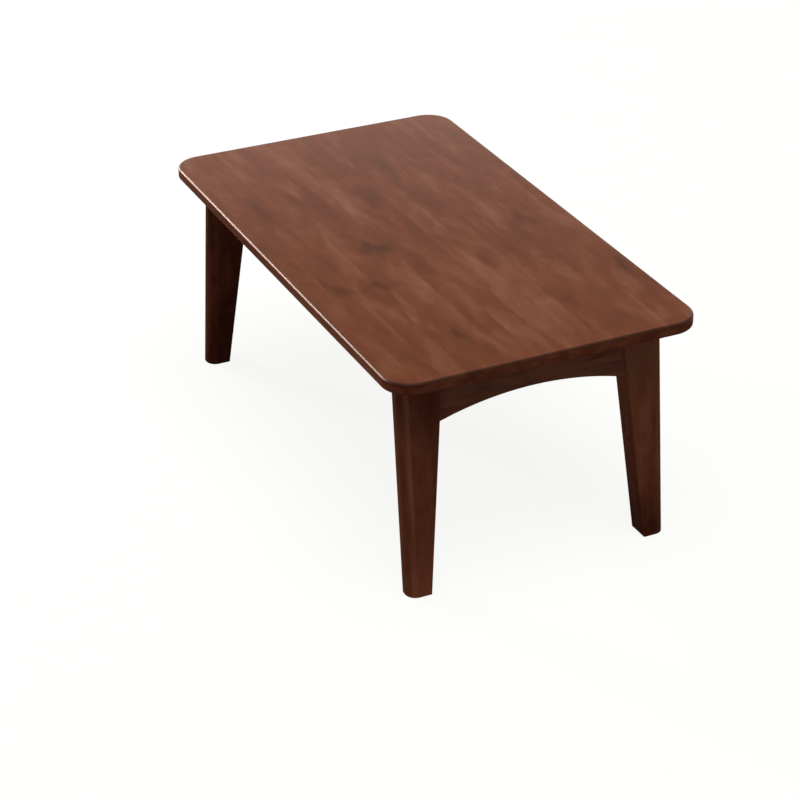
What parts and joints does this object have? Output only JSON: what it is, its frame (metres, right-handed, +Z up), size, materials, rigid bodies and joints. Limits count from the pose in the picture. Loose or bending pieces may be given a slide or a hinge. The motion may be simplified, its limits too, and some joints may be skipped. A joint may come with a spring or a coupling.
{
  "type": "folding low table",
  "caption": "Low rectangular table with rounded corners, whose splayed end frames of tapered legs and an arched apron fold flat beneath the top.",
  "frame": {"origin": "on the floor under the centre of the open table", "axes": "+X along the length of the top, +Y across it, +Z up"},
  "size_m": [0.7, 0.404, 0.298],
  "materials": {
    "top_wood": "satin lacquer",
    "frame_wood": "satin lacquer",
    "dowel_wood": "bare",
    "bracket_steel": "zinc plated",
    "bolt_steel": "zinc plated",
    "screw_steel": "zinc plated",
    "insert_brass": "plain"
  },
  "bodies": {
    "table": {"tabletop": "top_wood", "centre_batten": "frame_wood", "batten_screws": "screw_steel", "bracket_screws": "screw_steel", "bracket_right_front": "bracket_steel", "bracket_right_back": "bracket_steel", "bracket_left_front": "bracket_steel", "bracket_left_back": "bracket_steel"},
    "frame_right": {"leg_right_front": "frame_wood", "leg_right_back": "frame_wood", "apron_right": "frame_wood", "dowels_right": "dowel_wood", "inserts_right": "insert_brass", "pivot_bolts_right": "bolt_steel", "washers_right": "bolt_steel"},
    "frame_left": {"leg_left_front": "frame_wood", "leg_left_back": "frame_wood", "apron_left": "frame_wood", "dowels_left": "dowel_wood", "inserts_left": "insert_brass", "pivot_bolts_left": "bolt_steel", "washers_left": "bolt_steel"}
  },
  "joints": [
    {"name": "fold_right", "type": "hinge", "parent": "table", "child": "frame_right", "pos_m": [0.289, 0, 0.2675], "axis": [0, 1, 0], "range_deg": [0, 96.4]},
    {"name": "fold_left", "type": "hinge", "parent": "table", "child": "frame_left", "pos_m": [-0.289, 0, 0.2675], "axis": [0, -1, 0], "range_deg": [0, 96.4]}
  ]
}
